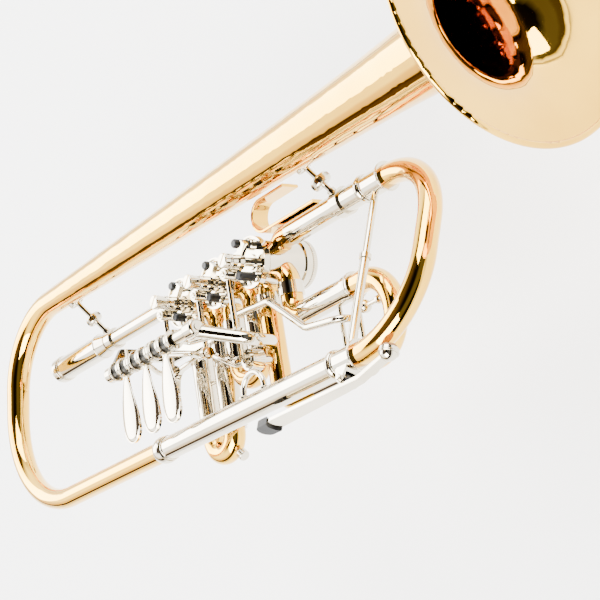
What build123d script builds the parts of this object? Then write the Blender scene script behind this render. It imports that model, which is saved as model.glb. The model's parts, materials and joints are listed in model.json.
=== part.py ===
"""A rotary valve trumpet in B flat, with its three valves, their levers and its slides.

X runs from the mouthpiece receiver to the bell, Y from the lower leg to the bell and Z
from the valve plane to the player's fingers. The origin is the centre of the receiver's
mouth. All sizes are in millimetres.
"""

import os
from math import asin, cos, degrees, hypot, radians, sin, sqrt

from build123d import *

os.makedirs("parts", exist_ok=True)

# Windway
tube_radius = 6.15
tube_bore = 5.6
sleeve_radius = 6.6
sleeve_bore = 6.0
slide_clearance = 0.05
inner_bore = 5.5
ferrule_wall = 1.2
solder_gap = 0.05

# Main run: the leadpipe's axis is Y = 0, Z = 0
receiver_length = 62
receiver_radius = 7.6
receiver_socket = 5.1
receiver_socket_depth = 26
receiver_ring = 8.3
receiver_ring_width = 5
leadpipe_radius = 5.3
leadpipe_bore = 4.6
leadpipe_insert = 5

# Lower leg and main tuning slide
lower_y = -95
lower_z = 37
lower_sleeve_start = 165
sleeve_front = 330
slide_collar_end = 346
bow_corner = 42
bow_straight = 1.5
tuning_inner_length = 80
collar_gap = 0.3

# Bell bow and bell
bell_y = 34
bell_z = 21
bow_rear = -13
bow_lower_corner = 70
bow_upper_corner = 46
bell_tail_radius = 7.0
bell_slope = 0.0215
bell_rim_x = 475
bell_rim_radius = 70.5
flare_reach = 10
flare_power = 1.42
bell_wall = 0.7
rim_bead = 1.7

# Valves
valve_x = 169.5
valve_pitch = 36
casing_radius = 12.4
casing_top = 13
casing_bottom = -15
rotor_radius = 10.6
rotor_gap = 0.05
rotor_end_gap = 0.2
casing_floor = 2.2
passage_radius = 4.1
port_start = 10.9
port_hole = 6.2
knuckle_corner = 15.1
knuckle_bend = 9.8
crossover_bend = 13
spindle_radius = 2.5
spindle_gap = 0.06
plate_radius = 14.3
plate_thickness = 2.5
plate_rim = 0.8
plate_plug = 2
cap_radius = 13.5
cap_floor = 2.4
cap_overlap = 2.5
cap_air = 2.6
spindle_foot = 4.2

# Stop arms and their bumpers
pin_circle = 8
pin_rest = 225
rotor_turn = 90
pin_radius = 2
hub_radius = 3.7
hub_screw_radius = 4.1
hub_top = 31.5
arm_thickness = 3
arm_drop = 2.5
tail_half = 2.2
tail_reach = 11.6
bumper_circle = 9.5
bumper_radius = 2.5
bumper_height = (8, 8, 12)
stop_gap = 0.15

# Links
link_z = (24.5, 24.5, 28)
link_rod = 1.6
eye_radius = 3.6
eye_gap = 0.08
eye_height = 4.4
foot_eye_width = 2.4
foot_eye_hole = 2.4
crank_pin = 1.3

# Levers and their axle
axle_y = -44
axle_z = 48
axle_radius = 2
axle_gap = 0.06
axle_rear = 137.5
lever_span = 20.8
lever_gap = 0.7
lever_middle_x = 174.5
lever_x = [lever_middle_x + step * (lever_span + lever_gap) for step in (-1, 0, 1)]
barrel_radius = 3.5
collar_radius = 5.4
collar_width = 1.8
paddle_collar = 4
crank_rod = 1.5
crank_side = 6.5
crank_collar = 3.8
crank_head = 2.6
paddle_thickness = 1.8
paddle_stem = 1.8
paddle_half = 7.8
paddle_length = 43.5
post_width = 3
post_eye = 4.6
post_inset = 11
front_hub_x = 219.5
front_hub_length = 9.5
front_hub_radius = 5
front_arm_radius = 3.6
base_width = 9
base_thickness = 2.4
spring_wire = 0.45
spring_radius = 4.3
spring_pitch = 1.35
spring_turns = 3

# Valve slides
first_sleeve_start = -29
first_sleeve_end = -84
first_bow_y = -88
second_sleeve_end = -50
second_bow_y = -54
third_upper_y = -45
third_lower_y = -86
third_elbow = 10
third_stay_x = 291
third_sleeve_start = 263
third_sleeve_end = 304.5
third_bow_x = 314.5
slide_ferrule = 3
inner_start_gap = 1
knuckle_ferrule_y = -25.6

# Water key, worked from the lower leg's axis along its own upward direction
key_lean = 21.3
key_hinge_x = 338
key_hinge_up = 11.5
key_bar_up = 15.2
key_cup_x = 371.5
key_cup_radius = 5
key_pad_radius = 3.6
key_tip_x = 268.5
key_tip_up = 15.8
key_tip_half = 4.4
key_barrel = 2.6
key_pin = 1

valve_y = -knuckle_corner * cos(radians(45))
valve_xs = [valve_x + index * valve_pitch for index in range(3)]
leg_offset = knuckle_corner * cos(radians(45))
port_offset = port_start * cos(radians(45))
inner_radius = sleeve_bore - slide_clearance
sleeve_seat = sleeve_radius + solder_gap


def export(node, label):
    """Label a finished piece and write it under its own name."""
    node.part.label = label
    export_step(node.part, f"parts/{label}.step")


def bent_tube(points, bends, outer, bore=0):
    """Round tube or rod along straight runs that tangent arcs join."""
    with BuildPart() as tube:
        with BuildLine() as path:
            if len(points) > 2:
                FilletPolyline(*points, radius=bends)
            else:
                Line(*points)
        with BuildSketch(Plane(origin=path.line @ 0, z_dir=path.line % 0)):
            Circle(outer)
            if bore:
                Circle(bore, mode=Mode.SUBTRACT)
        sweep(path=path.line)
    return tube.part


def ring(centre, direction, length, outer, bore=0):
    """Round collar or disc that starts at a point and runs along a direction."""
    with BuildPart() as collar:
        with BuildSketch(Plane(origin=centre, z_dir=direction)):
            Circle(outer)
            if bore:
                Circle(bore, mode=Mode.SUBTRACT)
        extrude(amount=length)
    return collar.part


def ball(centre, radius, direction):
    """Round knob whose poles lie on a given direction."""
    heading = Vector(*direction).normalized()
    side = heading.cross(Vector(0.3, 0.2, 0.9)).normalized()
    with BuildPart() as knob:
        with BuildSketch(Plane(origin=centre, x_dir=heading, z_dir=side)):
            with BuildLine():
                ThreePointArc((-radius, 0), (0, radius), (radius, 0))
                Line((radius, 0), (-radius, 0))
            make_face()
        revolve(axis=Axis(centre, heading))
    return knob.part


def leg_blank(y, z, radius):
    """Solid bar along X, as long as the trumpet, to cut a seat for a leg."""
    return ring((-50, y, z), (1, 0, 0), bell_rim_x + 100, radius)


def half_turns(origin, along, across, radius, pitch, turns):
    """Points of a coil: each half turn's start and crown, then the last end."""
    side = along.cross(across)
    points = []
    swell = sqrt(radius**2 + (pitch / 4) ** 2)
    for half in range(2 * turns):
        sign = 1 if half % 2 == 0 else -1
        points.append(origin + along * (pitch * half / 2) + across * (radius * sign))
        points.append(origin + along * (pitch * (half + 0.5) / 2) + side * (swell * sign))
    points.append(origin + along * (pitch * turns) + across * radius)
    return points


def coil(origin, along, across, radius, pitch, turns, wire):
    """One unbroken wire wound round an axis on half turns that meet in line."""
    points = half_turns(origin, along, across, radius, pitch, turns)
    with BuildPart() as wound:
        with BuildLine() as path:
            for start in range(0, len(points) - 1, 2):
                ThreePointArc(points[start], points[start + 1], points[start + 2])
        with BuildSketch(Plane(origin=path.line @ 0, z_dir=path.line % 0)):
            Circle(wire)
        sweep(path=path.line)
    return wound.part


def least_coil_gap(radius, pitch, turns, wire):
    """Least clear gap between one turn of a coil and the next, on sampled points."""
    samples = 24
    points = []
    for step in range(samples * turns + 1):
        angle = radians(360 * step / samples)
        points.append(Vector(pitch * step / samples, radius * cos(angle), radius * sin(angle)))
    gaps = []
    for index, point in enumerate(points):
        for other in points[index + samples // 2 :]:
            gaps.append((point - other).length - 2 * wire)
    return min(gaps)


def bell_radius(x):
    """Outside radius of the bell: a slow cone with a flare that climbs to the rim."""
    cone = bell_tail_radius + bell_slope * x
    flare = bell_rim_radius - bell_tail_radius - bell_slope * bell_rim_x
    return cone + flare * (flare_reach / (flare_reach + bell_rim_x - x)) ** flare_power


def bell_wall_point(x, depth):
    """Point of the bell's wall at a depth under its outside, square to the wall."""
    step = 0.01
    slope = (bell_radius(x) - bell_radius(x - step)) / step
    length = hypot(1, slope)
    return (x + depth * slope / length, bell_radius(x) - depth / length)


bell_start = bow_rear + bow_upper_corner
bell_stations = [bell_start, 110, 200, 290, 360, 405, 432, 448, 458, 465, 470, bell_rim_x]
bell_plane = Plane(origin=(0, bell_y, bell_z), x_dir=(1, 0, 0), z_dir=(0, 0, 1))
bell_axis = Axis((0, bell_y, bell_z), (1, 0, 0))

with BuildPart() as bell:
    with BuildSketch(bell_plane):
        with BuildLine():
            outside = Spline(*[bell_wall_point(x, 0) for x in bell_stations])
            inside = Spline(*[bell_wall_point(x, bell_wall) for x in bell_stations])
            Line(outside @ 0, inside @ 0)
            Line(outside @ 1, inside @ 1)
        make_face()
    revolve(axis=bell_axis)
    with BuildSketch(bell_plane):
        with Locations((bell_rim_x, bell_rim_radius - bell_wall / 2)):
            Circle(rim_bead)
    revolve(axis=bell_axis)
export(bell, "bell")

with BuildPart() as bell_envelope:
    with BuildSketch(bell_plane):
        with BuildLine():
            outline = Spline(*[bell_wall_point(x, 0) for x in bell_stations])
            Polyline(outline @ 0, (bell_start, 0), (bell_rim_x, 0), outline @ 1)
        make_face()
    revolve(axis=bell_axis)

# The bell bow lies in the plane of the lower leg and the bell
bow_start = bow_rear + bow_lower_corner
bow_tail_radius = bell_radius(bell_start)

with BuildPart() as bell_bow:
    with BuildLine() as bow_path:
        FilletPolyline(
            (bow_start, lower_y, lower_z),
            (bow_rear, lower_y, lower_z),
            (bow_rear, bell_y, bell_z),
            (bell_start, bell_y, bell_z),
            radius=[bow_lower_corner - 0.01, bow_upper_corner - 0.01],
        )
    for depth, mode in ((0, Mode.ADD), (bell_wall, Mode.SUBTRACT)):
        with BuildSketch(Plane(origin=bow_path.line @ 0, z_dir=bow_path.line % 0)) as near_end:
            Circle(tube_radius - depth)
        with BuildSketch(Plane(origin=bow_path.line @ 1, z_dir=bow_path.line % 1)) as far_end:
            Circle(bow_tail_radius - depth)
        sweep(sections=[near_end.sketch, far_end.sketch], path=bow_path.line, multisection=True,
              mode=mode)
export(bell_bow, "bell_bow")

with BuildPart() as lower_tube:
    add(bent_tube([(bow_start, lower_y, lower_z), (lower_sleeve_start, lower_y, lower_z)], 0,
                  tube_radius, tube_bore))
export(lower_tube, "lower_tube")

with BuildPart() as lower_slide_sleeve:
    add(bent_tube([(lower_sleeve_start, lower_y, lower_z), (sleeve_front, lower_y, lower_z)], 0,
                  sleeve_radius, sleeve_bore))
export(lower_slide_sleeve, "lower_slide_sleeve")

# Receiver and leadpipe
with BuildPart() as receiver:
    with BuildSketch(Plane.XZ):
        with BuildLine():
            Polyline(
                (0, receiver_socket),
                (0, receiver_ring),
                (receiver_ring_width, receiver_ring),
                (receiver_ring_width, receiver_radius),
                (receiver_length - 8, receiver_radius),
                (receiver_length, leadpipe_radius + solder_gap + 0.6),
                (receiver_length, leadpipe_radius + solder_gap),
                (receiver_socket_depth, leadpipe_radius + solder_gap),
                (receiver_socket_depth, receiver_socket),
                close=True,
            )
        make_face()
    revolve(axis=Axis.X)
    ring_edges = receiver.edges().filter_by(GeomType.CIRCLE).group_by(SortBy.RADIUS)[-1]
    fillet(ring_edges, radius=0.4)
export(receiver, "receiver")

inlet_x = valve_xs[0] - leg_offset
inlet_start = inlet_x - knuckle_bend
with BuildPart() as leadpipe:
    add(bent_tube([(receiver_socket_depth + 1, 0, 0), (inlet_start + leadpipe_insert, 0, 0)], 0,
                  leadpipe_radius, leadpipe_bore))
export(leadpipe, "leadpipe")

# Tubes of the open windway: inlet, two crossovers and outlet
outlet_x = valve_xs[2] + leg_offset
outlet_end = outlet_x + knuckle_bend
with BuildPart() as windway_tubes:
    add(bent_tube([(valve_xs[0] - port_offset, valve_y + port_offset, 0), (inlet_x, 0, 0),
                   (inlet_start, 0, 0)], knuckle_bend, tube_radius, tube_bore))
    for valve in valve_xs[:2]:
        middle = valve_pitch / 2
        add(bent_tube([(valve + port_offset, valve_y + port_offset, 0),
                       (valve + middle, valve_y + middle, 0),
                       (valve + valve_pitch - port_offset, valve_y + port_offset, 0)],
                      crossover_bend, tube_radius, tube_bore))
    add(bent_tube([(valve_xs[2] + port_offset, valve_y + port_offset, 0), (outlet_x, 0, 0),
                   (outlet_end, 0, 0)], knuckle_bend, tube_radius, tube_bore))
export(windway_tubes, "windway_tubes")

with BuildPart() as upper_slide_sleeve:
    add(bent_tube([(outlet_end, 0, 0), (sleeve_front, 0, 0)], 0, sleeve_radius, sleeve_bore))
export(upper_slide_sleeve, "upper_slide_sleeve")

# Rings that cover the soldered joints and stiffen the sleeves' mouths
ferrules = [
    (inlet_start - 4, 0, 0, tube_radius, 5),
    (sleeve_front - 3, 0, 0, sleeve_radius, 3),
    (lower_sleeve_start - 3, lower_y, lower_z, sleeve_radius, 6),
    (sleeve_front - 3, lower_y, lower_z, sleeve_radius, 3),
]
with BuildPart() as leg_ferrules:
    for x, y, z, radius, width in ferrules:
        bore = radius + solder_gap
        with BuildSketch(Plane(origin=(x, y, z), x_dir=(1, 0, 0), z_dir=(0, 0, 1))):
            with BuildLine():
                Line((0, bore), (width, bore))
                Line((width, bore), (width, bore + ferrule_wall / 2))
                ThreePointArc((width, bore + ferrule_wall / 2), (width / 2, bore + ferrule_wall),
                              (0, bore + ferrule_wall / 2))
                Line((0, bore + ferrule_wall / 2), (0, bore))
            make_face()
        revolve(axis=Axis((0, y, z), (1, 0, 0)))
    for leg in (-leg_offset, leg_offset):
        add(ring((valve_xs[2] + leg, knuckle_ferrule_y, 0), (0, -1, 0), 7, tube_radius + ferrule_wall,
                 tube_radius + solder_gap))
export(leg_ferrules, "leg_ferrules")

# Main tuning slide
bow_end = slide_collar_end + bow_straight
bow_far = bow_end + bow_corner
with BuildPart() as tuning_bow:
    add(bent_tube([(slide_collar_end + 0.2, 0, 0), (bow_far, 0, 0), (bow_far, lower_y, lower_z),
                   (slide_collar_end + 0.2, lower_y, lower_z)], bow_corner, tube_radius, tube_bore))
export(tuning_bow, "tuning_bow")

with BuildPart() as tuning_inner_tubes:
    for y, z in ((0, 0), (lower_y, lower_z)):
        add(bent_tube([(slide_collar_end + 0.2 - tuning_inner_length, y, z), (slide_collar_end + 0.2, y, z)],
                      0, inner_radius, inner_bore))
export(tuning_inner_tubes, "tuning_inner_tubes")


# Casings, with their ports, floors and bearing seats
def port_directions():
    """Unit directions of a casing's four ports, a quarter turn apart."""
    return [Vector(cos(radians(angle)), sin(radians(angle)), 0) for angle in (45, 135, 225, 315)]


rotor_bottom = casing_bottom + casing_floor + rotor_end_gap
rotor_top = casing_top - plate_plug - rotor_end_gap
plate_top = casing_top + plate_thickness
casing_bore = rotor_radius + rotor_gap

for number, x in enumerate(valve_xs, start=1):
    with BuildPart() as casing:
        with BuildSketch(Plane(origin=(x, valve_y, casing_bottom))):
            Circle(casing_radius)
        extrude(amount=casing_top - casing_bottom)
        with BuildSketch(Plane(origin=(x, valve_y, casing_bottom + casing_floor))):
            Circle(casing_bore)
        extrude(amount=casing_top - casing_bottom, mode=Mode.SUBTRACT)
        with BuildSketch(Plane(origin=(x, valve_y, casing_bottom))):
            Circle(spindle_radius + spindle_gap)
        extrude(amount=casing_floor, mode=Mode.SUBTRACT)
        for direction in port_directions():
            add(ring(Vector(x, valve_y, 0), direction, casing_radius + 2, port_hole),
                mode=Mode.SUBTRACT)
    export(casing, f"valve_casing_{number}")

    with BuildPart() as plate:
        with BuildSketch(Plane(origin=(x, valve_y, casing_top))):
            Circle(plate_radius)
        extrude(amount=plate_thickness)
        with BuildSketch(Plane(origin=(x, valve_y, casing_top - plate_plug))):
            Circle(casing_bore - 0.03)
        extrude(amount=plate_plug)
        with BuildSketch(Plane(origin=(x, valve_y, plate_top))):
            Circle(plate_radius)
            Circle(plate_radius - plate_rim, mode=Mode.SUBTRACT)
            Circle(spindle_radius + 2)
        extrude(amount=1)
        with BuildSketch(Plane(origin=(x, valve_y, casing_top - plate_plug))):
            Circle(spindle_radius + spindle_gap)
        extrude(amount=plate_plug + plate_thickness + 2, mode=Mode.SUBTRACT)
    export(plate, f"bearing_plate_{number}")

    with BuildPart() as cap:
        cap_bottom = casing_bottom - cap_air - cap_floor
        with BuildSketch(Plane(origin=(x, valve_y, cap_bottom))):
            Circle(cap_radius)
        extrude(amount=cap_floor + cap_air + cap_overlap)
        with BuildSketch(Plane(origin=(x, valve_y, casing_bottom - cap_air))):
            Circle(casing_radius - 1.4)
        extrude(amount=cap_air, mode=Mode.SUBTRACT)
        with BuildSketch(Plane(origin=(x, valve_y, casing_bottom))):
            Circle(casing_radius + solder_gap)
        extrude(amount=cap_overlap, mode=Mode.SUBTRACT)
        with BuildSketch(Plane(origin=(x, valve_y, cap_bottom + cap_floor + 0.6))):
            Circle(cap_radius)
            Circle(cap_radius - 0.7, mode=Mode.SUBTRACT)
        extrude(amount=0.9, mode=Mode.SUBTRACT)
        fillet(cap.edges().group_by(Axis.Z)[0].sort_by(SortBy.RADIUS)[-1], radius=1.5)
    export(cap, f"bottom_cap_{number}")

# Rotors: two curved passages, each joining neighbouring ports, and a spindle through both ends
passage_centre = port_offset * 2
for number, x in enumerate(valve_xs, start=1):
    with BuildPart() as rotor:
        with BuildSketch(Plane(origin=(x, valve_y, rotor_bottom))):
            Circle(rotor_radius)
        extrude(amount=rotor_top - rotor_bottom)
        for side in (1, -1):
            turn = rotor_radius + 1
            shift = turn * cos(radians(45))
            middle = Vector(x, valve_y + side * turn * sqrt(2), 0)
            start = Vector(x + shift, valve_y + side * shift, 0)
            crown = middle + Vector(0, -side * turn, 0)
            end = Vector(x - shift, valve_y + side * shift, 0)
            with BuildLine() as passage:
                ThreePointArc(start, crown, end)
            with BuildSketch(Plane(origin=passage.line @ 0, z_dir=passage.line % 0)):
                Circle(passage_radius)
            sweep(path=passage.line, mode=Mode.SUBTRACT)
        with BuildSketch(Plane(origin=(x, valve_y, rotor_top))):
            Circle(spindle_radius)
        extrude(amount=hub_top - 2 - rotor_top)
        with BuildSketch(Plane(origin=(x, valve_y, rotor_bottom))):
            Circle(spindle_radius)
        extrude(amount=-spindle_foot)
    export(rotor, f"rotor_{number}")


def on_circle(x, radius, angle, z):
    """Point round a valve's axis."""
    return Vector(x + radius * cos(radians(angle)), valve_y + radius * sin(radians(angle)), z)


tail_rest = pin_rest - 180
bumper_lead = degrees(asin((tail_half + bumper_radius + stop_gap) / bumper_circle))
bumper_angles = (tail_rest + bumper_lead, tail_rest - rotor_turn - bumper_lead)

for number, (x, level) in enumerate(zip(valve_xs, link_z), start=1):
    arm_top = level - arm_drop
    with BuildPart() as stop_arm:
        with BuildSketch(Plane(origin=(x, valve_y, arm_top - arm_thickness))):
            Circle(hub_radius)
        extrude(amount=hub_top - arm_top + arm_thickness)
        with BuildSketch(Plane(origin=(x, valve_y, hub_top))):
            Circle(hub_screw_radius)
        extrude(amount=3.4)
        fillet(stop_arm.edges().group_by(Axis.Z)[-1], radius=0.8)
        with BuildSketch(Plane(origin=(x, valve_y, hub_top + 3.4))):
            Rectangle(2 * hub_screw_radius + 1, 1, rotation=pin_rest)
        extrude(amount=-1, mode=Mode.SUBTRACT)
        arm_plane = Plane(origin=(x, valve_y, arm_top - arm_thickness),
                          x_dir=(cos(radians(pin_rest)), sin(radians(pin_rest)), 0), z_dir=(0, 0, 1))
        with BuildSketch(arm_plane):
            with Locations((pin_circle / 2, 0)):
                SlotCenterToCenter(pin_circle, 2 * pin_radius + 2.4)
            with Locations((-tail_reach / 2, 0)):
                Rectangle(tail_reach, 2 * tail_half)
            Circle(hub_radius + 1.2)
        extrude(amount=arm_thickness)
        with BuildSketch(Plane(origin=on_circle(x, pin_circle, pin_rest, arm_top))):
            Circle(pin_radius)
        extrude(amount=arm_drop + eye_height / 2 + 0.2)
        with BuildSketch(Plane(origin=on_circle(x, pin_circle, pin_rest, level + eye_height / 2 + 0.2))):
            Circle(pin_radius + 0.8)
        extrude(amount=1.2)
        with BuildSketch(Plane(origin=(x, valve_y, arm_top - arm_thickness))):
            Circle(spindle_radius + solder_gap)
        extrude(amount=hub_top - 2 - arm_top + arm_thickness, mode=Mode.SUBTRACT)
    export(stop_arm, f"stop_arm_{number}")

with BuildPart() as stop_bumpers:
    for x, height in zip(valve_xs, bumper_height):
        for angle in bumper_angles:
            with BuildSketch(Plane(origin=on_circle(x, bumper_circle, angle, plate_top))):
                Circle(bumper_radius)
            extrude(amount=height - 0.8)
            with BuildSketch(Plane(origin=on_circle(x, bumper_circle, angle, plate_top + height - 0.8))):
                Circle(bumper_radius)
            extrude(amount=0.8, taper=35)
export(stop_bumpers, "stop_bumpers")

# Links: an eye round the stop arm's pin and a looser eye round the lever's crank pin
half_stroke = pin_circle * sin(radians(rotor_turn / 2))
pin_dx = pin_circle * cos(radians(pin_rest))
pin_dy = pin_circle * sin(radians(pin_rest))
crank_y = axle_y - half_stroke
for number, (x, level) in enumerate(zip(valve_xs, link_z), start=1):
    link_x = x + pin_dx
    link_top = valve_y + pin_dy
    with BuildPart() as link:
        add(ring((link_x, link_top, level - eye_height / 2), (0, 0, 1), eye_height, eye_radius))
        add(ring((link_x - foot_eye_width / 2, crank_y, level), (1, 0, 0), foot_eye_width, eye_radius))
        add(ring((link_x, link_top, level), (0, -1, 0), link_top - crank_y, link_rod))
        add(ring((link_x, link_top, level - eye_height), (0, 0, 1), 2 * eye_height,
                 pin_radius + eye_gap), mode=Mode.SUBTRACT)
        add(ring((link_x - foot_eye_width, crank_y, level), (1, 0, 0), 2 * foot_eye_width,
                 foot_eye_hole), mode=Mode.SUBTRACT)
    export(link, f"link_{number}")


# Levers: barrel with collars, finger paddle, and a crank down to the link
def paddle_outline(centre):
    """Drop outline of a finger paddle: a slim stem that swells to a round end."""
    reach = paddle_length - paddle_half
    root = 0.7 - barrel_radius
    with BuildSketch(centre) as outline:
        with BuildLine():
            right = Spline((paddle_stem, root), (paddle_stem + 1.2, -0.4 * reach), (paddle_half, -reach),
                           tangents=((0.02, -1), (0, -1)))
            ThreePointArc((paddle_half, -reach), (0, -paddle_length), (-paddle_half, -reach))
            left = Spline((-paddle_half, -reach), (-paddle_stem - 1.2, -0.4 * reach),
                          (-paddle_stem, root), tangents=((0, 1), (0.02, 1)))
            Line(left @ 1, right @ 0)
        make_face()
    return outline.sketch


spring_bay = (lever_span - collar_width - paddle_collar - crank_collar) / 2
for number, (x, level) in enumerate(zip(lever_x, link_z), start=1):
    crank_x = valve_xs[number - 1] + pin_dx - crank_side
    start = x - lever_span / 2
    root_x = start + lever_span - crank_collar / 2
    paddle_x = start + collar_width + spring_bay + paddle_collar / 2
    with BuildPart() as lever:
        add(ring((start, axle_y, axle_z), (1, 0, 0), lever_span, barrel_radius))
        for collar_x, width in ((start, collar_width), (paddle_x - paddle_collar / 2, paddle_collar),
                                (start + lever_span - crank_collar, crank_collar)):
            add(ring((collar_x, axle_y, axle_z), (1, 0, 0), width, collar_radius))
        extrude(paddle_outline(Plane(origin=(paddle_x, axle_y, axle_z - paddle_thickness / 2))),
                amount=paddle_thickness)
        crank = [(root_x, axle_y, axle_z - barrel_radius + 0.5), (root_x, axle_y - 1.5, axle_z - 10),
                 (crank_x, crank_y + 1.5, level + 6), (crank_x, crank_y, level)]
        add(bent_tube(crank, 2.5 if crank_x > root_x else 0.6, crank_rod))
        add(ball((crank_x, crank_y, level), crank_rod + 0.5, (1, 0, 0)))
        add(ring((crank_x, crank_y, level), (1, 0, 0), crank_side + crank_head, crank_pin))
        add(ring((crank_x + crank_side + crank_head, crank_y, level), (1, 0, 0), 1.2, crank_pin + 1.2))
        add(ring((start - 1, axle_y, axle_z), (1, 0, 0), lever_span + 2, axle_radius + axle_gap),
            mode=Mode.SUBTRACT)
    export(lever, f"lever_{number}")

# Axle, its rear bracket, its front arm and the levers' return springs
axle_front = front_hub_x + front_hub_length + 0.6
with BuildPart() as lever_axle:
    add(ring((axle_rear, axle_y, axle_z), (1, 0, 0), axle_front - axle_rear, axle_radius))
    add(ring((axle_rear - 2.2, axle_y, axle_z), (1, 0, 0), 2.2, post_eye))
    fillet(lever_axle.edges().filter_by(GeomType.CIRCLE).group_by(Axis.X)[0], radius=0.9)
export(lever_axle, "lever_axle")

post_x = axle_rear + 0.1
base_y = axle_y + post_inset
base_end = valve_xs[0] + leg_offset + 4
with BuildPart() as lever_bracket:
    with BuildSketch(Plane(origin=(post_x, 0, 0), x_dir=(0, 1, 0), z_dir=(1, 0, 0))):
        with Locations((axle_y, axle_z)):
            Circle(post_eye)
        with BuildLine():
            Polyline((axle_y, axle_z + post_eye - 1), (base_y + 3.5, axle_z - 6),
                     (base_y + 3.5, sleeve_seat + 1), (base_y - 3.5, sleeve_seat + 1),
                     (base_y - 3.5, axle_z - 6.5), (axle_y, axle_z - post_eye + 1), close=True)
        make_face()
    extrude(amount=post_width)
    with BuildSketch(Plane(origin=((post_x + base_end) / 2, base_y, sleeve_seat))):
        Rectangle(base_end - post_x, base_width)
    extrude(amount=base_thickness)
    add(ring((axle_rear - 1, axle_y, axle_z), (1, 0, 0), post_width + 4, axle_radius + solder_gap),
        mode=Mode.SUBTRACT)
export(lever_bracket, "lever_bracket")

sleeve_start = lever_x[2] + lever_span / 2 + 1.2
arm_foot = Vector(valve_xs[2] - leg_offset, -54, 3)
with BuildPart() as lever_front_arm:
    add(ring((front_hub_x, axle_y, axle_z), (1, 0, 0), front_hub_length, front_hub_radius))
    fillet(lever_front_arm.edges().filter_by(GeomType.CIRCLE), radius=1.6)
    add(ring((sleeve_start, axle_y, axle_z), (1, 0, 0), front_hub_x + 1 - sleeve_start, barrel_radius))
    add(bent_tube([(front_hub_x + front_hub_length / 2, axle_y - 1, axle_z - 1),
                   (valve_xs[2] + 8.5, axle_y - 13, axle_z - 21), (valve_xs[2] - 1, -54.5, 10), arm_foot],
                  [9, 12], front_arm_radius))
    add(ring((sleeve_start - 1, axle_y, axle_z), (1, 0, 0), axle_front - sleeve_start + 2,
             axle_radius + solder_gap), mode=Mode.SUBTRACT)
    add(ring((valve_xs[2] - leg_offset, 0, 0), (0, -1, 0), 90, tube_radius + solder_gap),
        mode=Mode.SUBTRACT)
export(lever_front_arm, "lever_front_arm")

spring_length = spring_turns * spring_pitch
with BuildPart() as lever_springs:
    for x in lever_x:
        for bay in range(2):
            inset = collar_width + bay * (spring_bay + paddle_collar) + (spring_bay - spring_length) / 2
            add(coil(Vector(x - lever_span / 2 + inset, axle_y, axle_z), Vector(1, 0, 0),
                     Vector(0, 0, -1), spring_radius, spring_pitch, spring_turns, spring_wire))
export(lever_springs, "lever_springs")
print("least gap in lever springs", round(least_coil_gap(spring_radius, spring_pitch, spring_turns,
                                                         spring_wire), 3))

# Valve slides: knuckles out of the casings, sleeves, and the slides that run in them
legs = (-leg_offset, leg_offset)
with BuildPart() as slide_knuckles:
    for x in valve_xs[:2]:
        for leg in legs:
            side = 1 if leg > 0 else -1
            add(bent_tube([(x + side * port_offset, valve_y - port_offset, 0),
                           (x + leg, valve_y - leg_offset, 0), (x + leg, first_sleeve_start, 0)],
                          knuckle_bend, tube_radius, tube_bore))
    for leg, run_y in ((leg_offset, third_upper_y), (-leg_offset, third_lower_y)):
        side = 1 if leg > 0 else -1
        x = valve_xs[2]
        add(bent_tube([(x + side * port_offset, valve_y - port_offset, 0),
                       (x + leg, valve_y - leg_offset, 0), (x + leg, run_y, 0),
                       (third_sleeve_start, run_y, 0)], [knuckle_bend, third_elbow], tube_radius,
                      tube_bore))
export(slide_knuckles, "slide_knuckles")

with BuildPart() as valve_slide_sleeves:
    for x, end in ((valve_xs[0], first_sleeve_end), (valve_xs[1], second_sleeve_end)):
        for leg in legs:
            add(bent_tube([(x + leg, first_sleeve_start, 0), (x + leg, end, 0)], 0, sleeve_radius,
                          sleeve_bore))
            add(ring((x + leg, end, 0), (0, 1, 0), 2.4, sleeve_radius + 0.7, sleeve_bore))
        brace_y = (first_sleeve_start + end) / 2
        add(ring((x - leg_offset + sleeve_bore + 0.3, brace_y, 0), (1, 0, 0),
                 2 * (leg_offset - sleeve_bore - 0.3), 1.3))
    for run_y in (third_upper_y, third_lower_y):
        add(bent_tube([(third_sleeve_start, run_y, 0), (third_sleeve_end, run_y, 0)], 0,
                      sleeve_radius, sleeve_bore))
        add(ring((third_sleeve_end - 2.4, run_y, 0), (1, 0, 0), 2.4, sleeve_radius + 0.7, sleeve_bore))
    add(ring((third_stay_x, third_lower_y + sleeve_bore + 0.3, 0), (0, 1, 0),
             third_upper_y - third_lower_y - 2 * sleeve_bore - 0.6, 1.3))
export(valve_slide_sleeves, "valve_slide_sleeves")

slide_mouth = 0.3
for name, x, end, bow_y in (("first", valve_xs[0], first_sleeve_end, first_bow_y),
                            ("second", valve_xs[1], second_sleeve_end, second_bow_y)):
    with BuildPart() as slide_bow:
        bow_bottom = bow_y - leg_offset
        top = end - slide_mouth
        add(bent_tube([(x - leg_offset, top, 0), (x - leg_offset, bow_bottom, 0),
                       (x + leg_offset, bow_bottom, 0), (x + leg_offset, top, 0)],
                      leg_offset - 0.05, tube_radius, tube_bore))
    export(slide_bow, f"{name}_slide_bow")
    with BuildPart() as slide_legs:
        for leg in legs:
            add(bent_tube([(x + leg, first_sleeve_start - inner_start_gap, 0), (x + leg, top, 0)], 0,
                          inner_radius, inner_bore))
            add(ring((x + leg, top - slide_ferrule, 0), (0, 1, 0), slide_ferrule,
                     tube_radius + ferrule_wall, tube_radius + solder_gap))
    export(slide_legs, f"{name}_slide_legs")

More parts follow.
